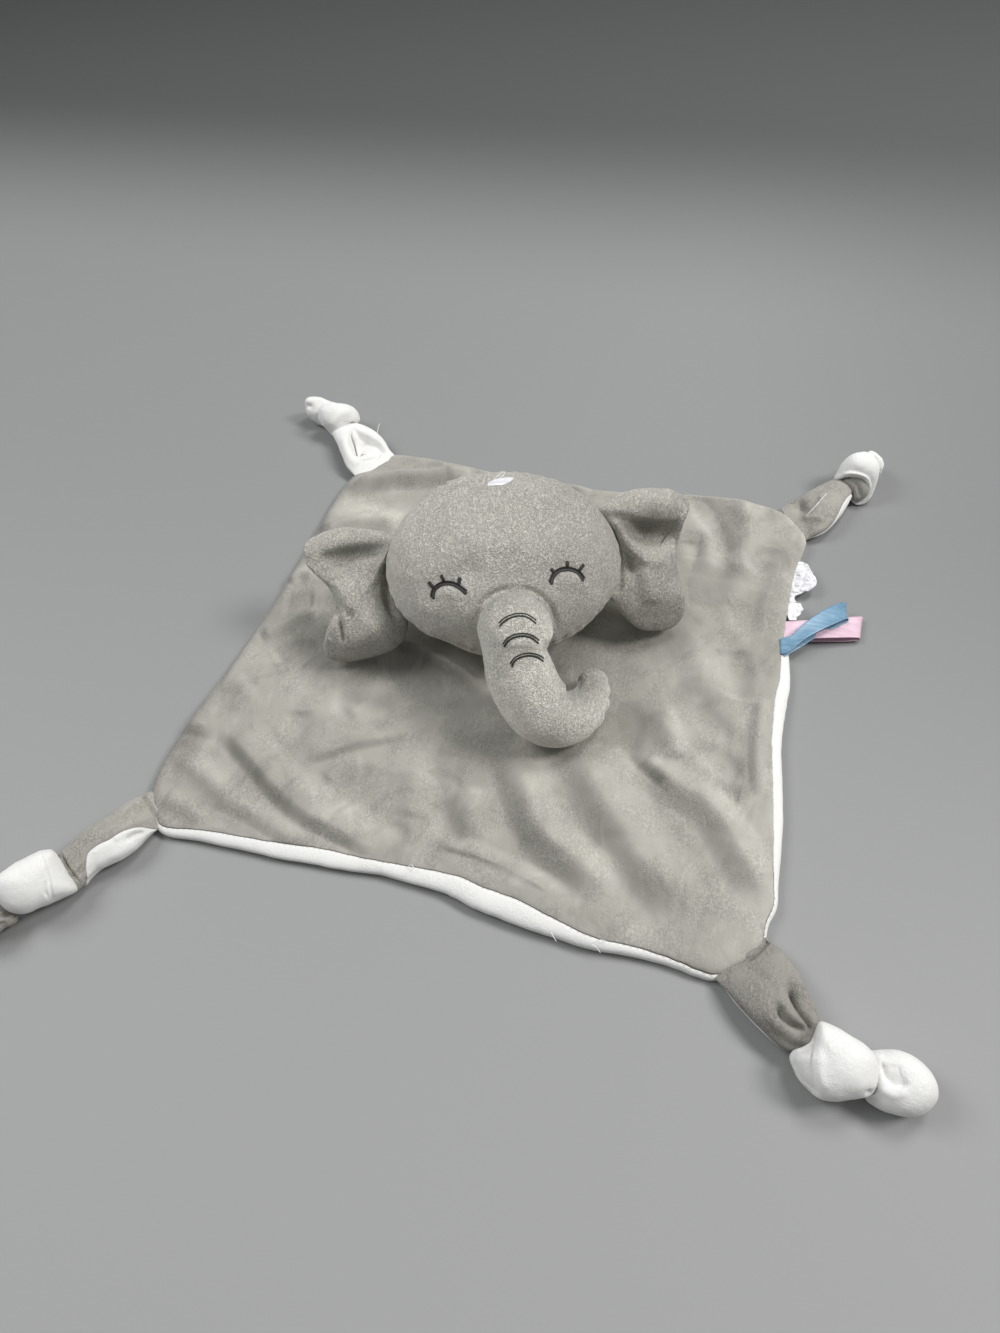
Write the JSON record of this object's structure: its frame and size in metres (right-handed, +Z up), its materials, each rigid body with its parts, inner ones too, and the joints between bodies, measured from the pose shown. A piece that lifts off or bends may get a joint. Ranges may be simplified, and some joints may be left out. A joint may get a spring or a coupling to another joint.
{
  "type": "comfort blanket",
  "caption": "Square two-ply velour comfort blanket with knotted corners, a stuffed animal head with trunk and ears sewn on the middle, and ribbon loops on one edge.",
  "frame": {"origin": "middle of the blanket square, on the underside of the backing panel", "axes": "+X to the right along the front edge, +Y to the back, +Z up out of the blanket; the head faces up and to the front"},
  "size_m": [0.3522, 0.3608, 0.073],
  "materials": {
    "grey_velour": "matt short-pile velour, warm grey",
    "white_velour": "matt short-pile velour, off white",
    "polyester_fill": "loose white fibre fill",
    "charcoal_thread": "satin-stitch embroidery thread, charcoal",
    "pale_thread": "sewing thread, pale grey",
    "blue_satin": "satin ribbon, dusty blue",
    "pink_satin": "satin ribbon, pale pink",
    "white_satin": "bare white satin label"
  },
  "bodies": {
    "blanket": {"blanket_backing_panel": "white_velour", "blanket_top_panel": "grey_velour", "blanket_edge_seam_thread": "pale_thread"},
    "neck": {"neck_stitch_ring": "pale_thread"},
    "head": {"head_front_panel": "grey_velour", "head_back_panel": "grey_velour", "head_stuffing": "polyester_fill", "head_side_seam_thread": "pale_thread", "crown_patch": "white_satin", "eye_left": "charcoal_thread", "eye_right": "charcoal_thread"},
    "trunk": {"trunk_cover": "grey_velour", "trunk_stuffing": "polyester_fill", "trunk_wrinkle_1": "charcoal_thread", "trunk_wrinkle_2": "charcoal_thread", "trunk_wrinkle_3": "charcoal_thread"},
    "ear_left": {"ear_left_front_ply": "grey_velour", "ear_left_wadding": "polyester_fill", "ear_left_back_ply": "grey_velour"},
    "ear_right": {"ear_right_front_ply": "grey_velour", "ear_right_wadding": "polyester_fill", "ear_right_back_ply": "grey_velour"},
    "corner_front_left": {"corner_front_left_white_ply": "white_velour", "corner_front_left_grey_ply": "grey_velour", "corner_front_left_knot": "white_velour", "corner_front_left_tail": "grey_velour"},
    "corner_front_right": {"corner_front_right_white_ply": "white_velour", "corner_front_right_grey_ply": "grey_velour", "corner_front_right_knot": "white_velour", "corner_front_right_tail": "white_velour"},
    "corner_back_left": {"corner_back_left_white_ply": "white_velour", "corner_back_left_grey_ply": "grey_velour", "corner_back_left_knot": "white_velour", "corner_back_left_tail": "white_velour"},
    "corner_back_right": {"corner_back_right_white_ply": "white_velour", "corner_back_right_grey_ply": "grey_velour", "corner_back_right_knot": "white_velour", "corner_back_right_tail": "white_velour"},
    "ribbons": {"ribbon_pink": "pink_satin", "ribbon_blue": "blue_satin"},
    "label": {"care_label": "white_satin"}
  },
  "joints": [
    {"name": "head_turn", "type": "hinge", "parent": "blanket", "child": "neck", "pos_m": [-0.00692, 0.0063, 0.0064], "axis": [0, 0, 1], "range_deg": [-18, 18], "stiffness_Nm_per_rad": 0.02},
    {"name": "head_nod", "type": "hinge", "parent": "neck", "child": "head", "pos_m": [-0.01114, 0.01753, 0.0078], "axis": [-0.9361, -0.3518, 0], "range_deg": [0, 22], "stiffness_Nm_per_rad": 0.03},
    {"name": "trunk_lift", "type": "hinge", "parent": "head", "child": "trunk", "pos_m": [0.00176, -0.01536, 0.05702], "axis": [-0.9361, -0.3518, 0], "range_deg": [0, 40], "stiffness_Nm_per_rad": 0.01},
    {"name": "ear_left_flap", "type": "hinge", "parent": "head", "child": "ear_left", "pos_m": [-0.05843, -0.00963, 0.04487], "axis": [-0.3434, 0.8093, 0.4765], "range_deg": [0, 35], "stiffness_Nm_per_rad": 0.005},
    {"name": "ear_right_flap", "type": "hinge", "parent": "head", "child": "ear_right", "pos_m": [0.04233, 0.02825, 0.04487], "axis": [0.2746, -0.8351, -0.4765], "range_deg": [0, 35], "stiffness_Nm_per_rad": 0.005},
    {"name": "corner_front_left_lift", "type": "hinge", "parent": "blanket", "child": "corner_front_left", "pos_m": [-0.11931, -0.11982, 0.0035], "axis": [-0.8123, 0.5832, 0], "range_deg": [0, 75]},
    {"name": "corner_front_right_lift", "type": "hinge", "parent": "blanket", "child": "corner_front_right", "pos_m": [0.11867, -0.11871, 0.0035], "axis": [-0.727, -0.6866, 0], "range_deg": [0, 75]},
    {"name": "corner_back_left_lift", "type": "hinge", "parent": "blanket", "child": "corner_back_left", "pos_m": [-0.11938, 0.1191, 0.0035], "axis": [0.6229, 0.7823, 0], "range_deg": [0, 75]},
    {"name": "corner_back_right_lift", "type": "hinge", "parent": "blanket", "child": "corner_back_right", "pos_m": [0.1187, 0.11875, 0.0035], "axis": [0.7311, -0.6823, 0], "range_deg": [0, 75]},
    {"name": "ribbon_flap", "type": "hinge", "parent": "blanket", "child": "ribbons", "pos_m": [0.1258, 0.04, 0.007], "axis": [0, -1, 0], "range_deg": [0, 60]},
    {"name": "label_flap", "type": "hinge", "parent": "blanket", "child": "label", "pos_m": [0.1258, 0.065, 0.004], "axis": [0, -1, 0], "range_deg": [0, 60]}
  ]
}
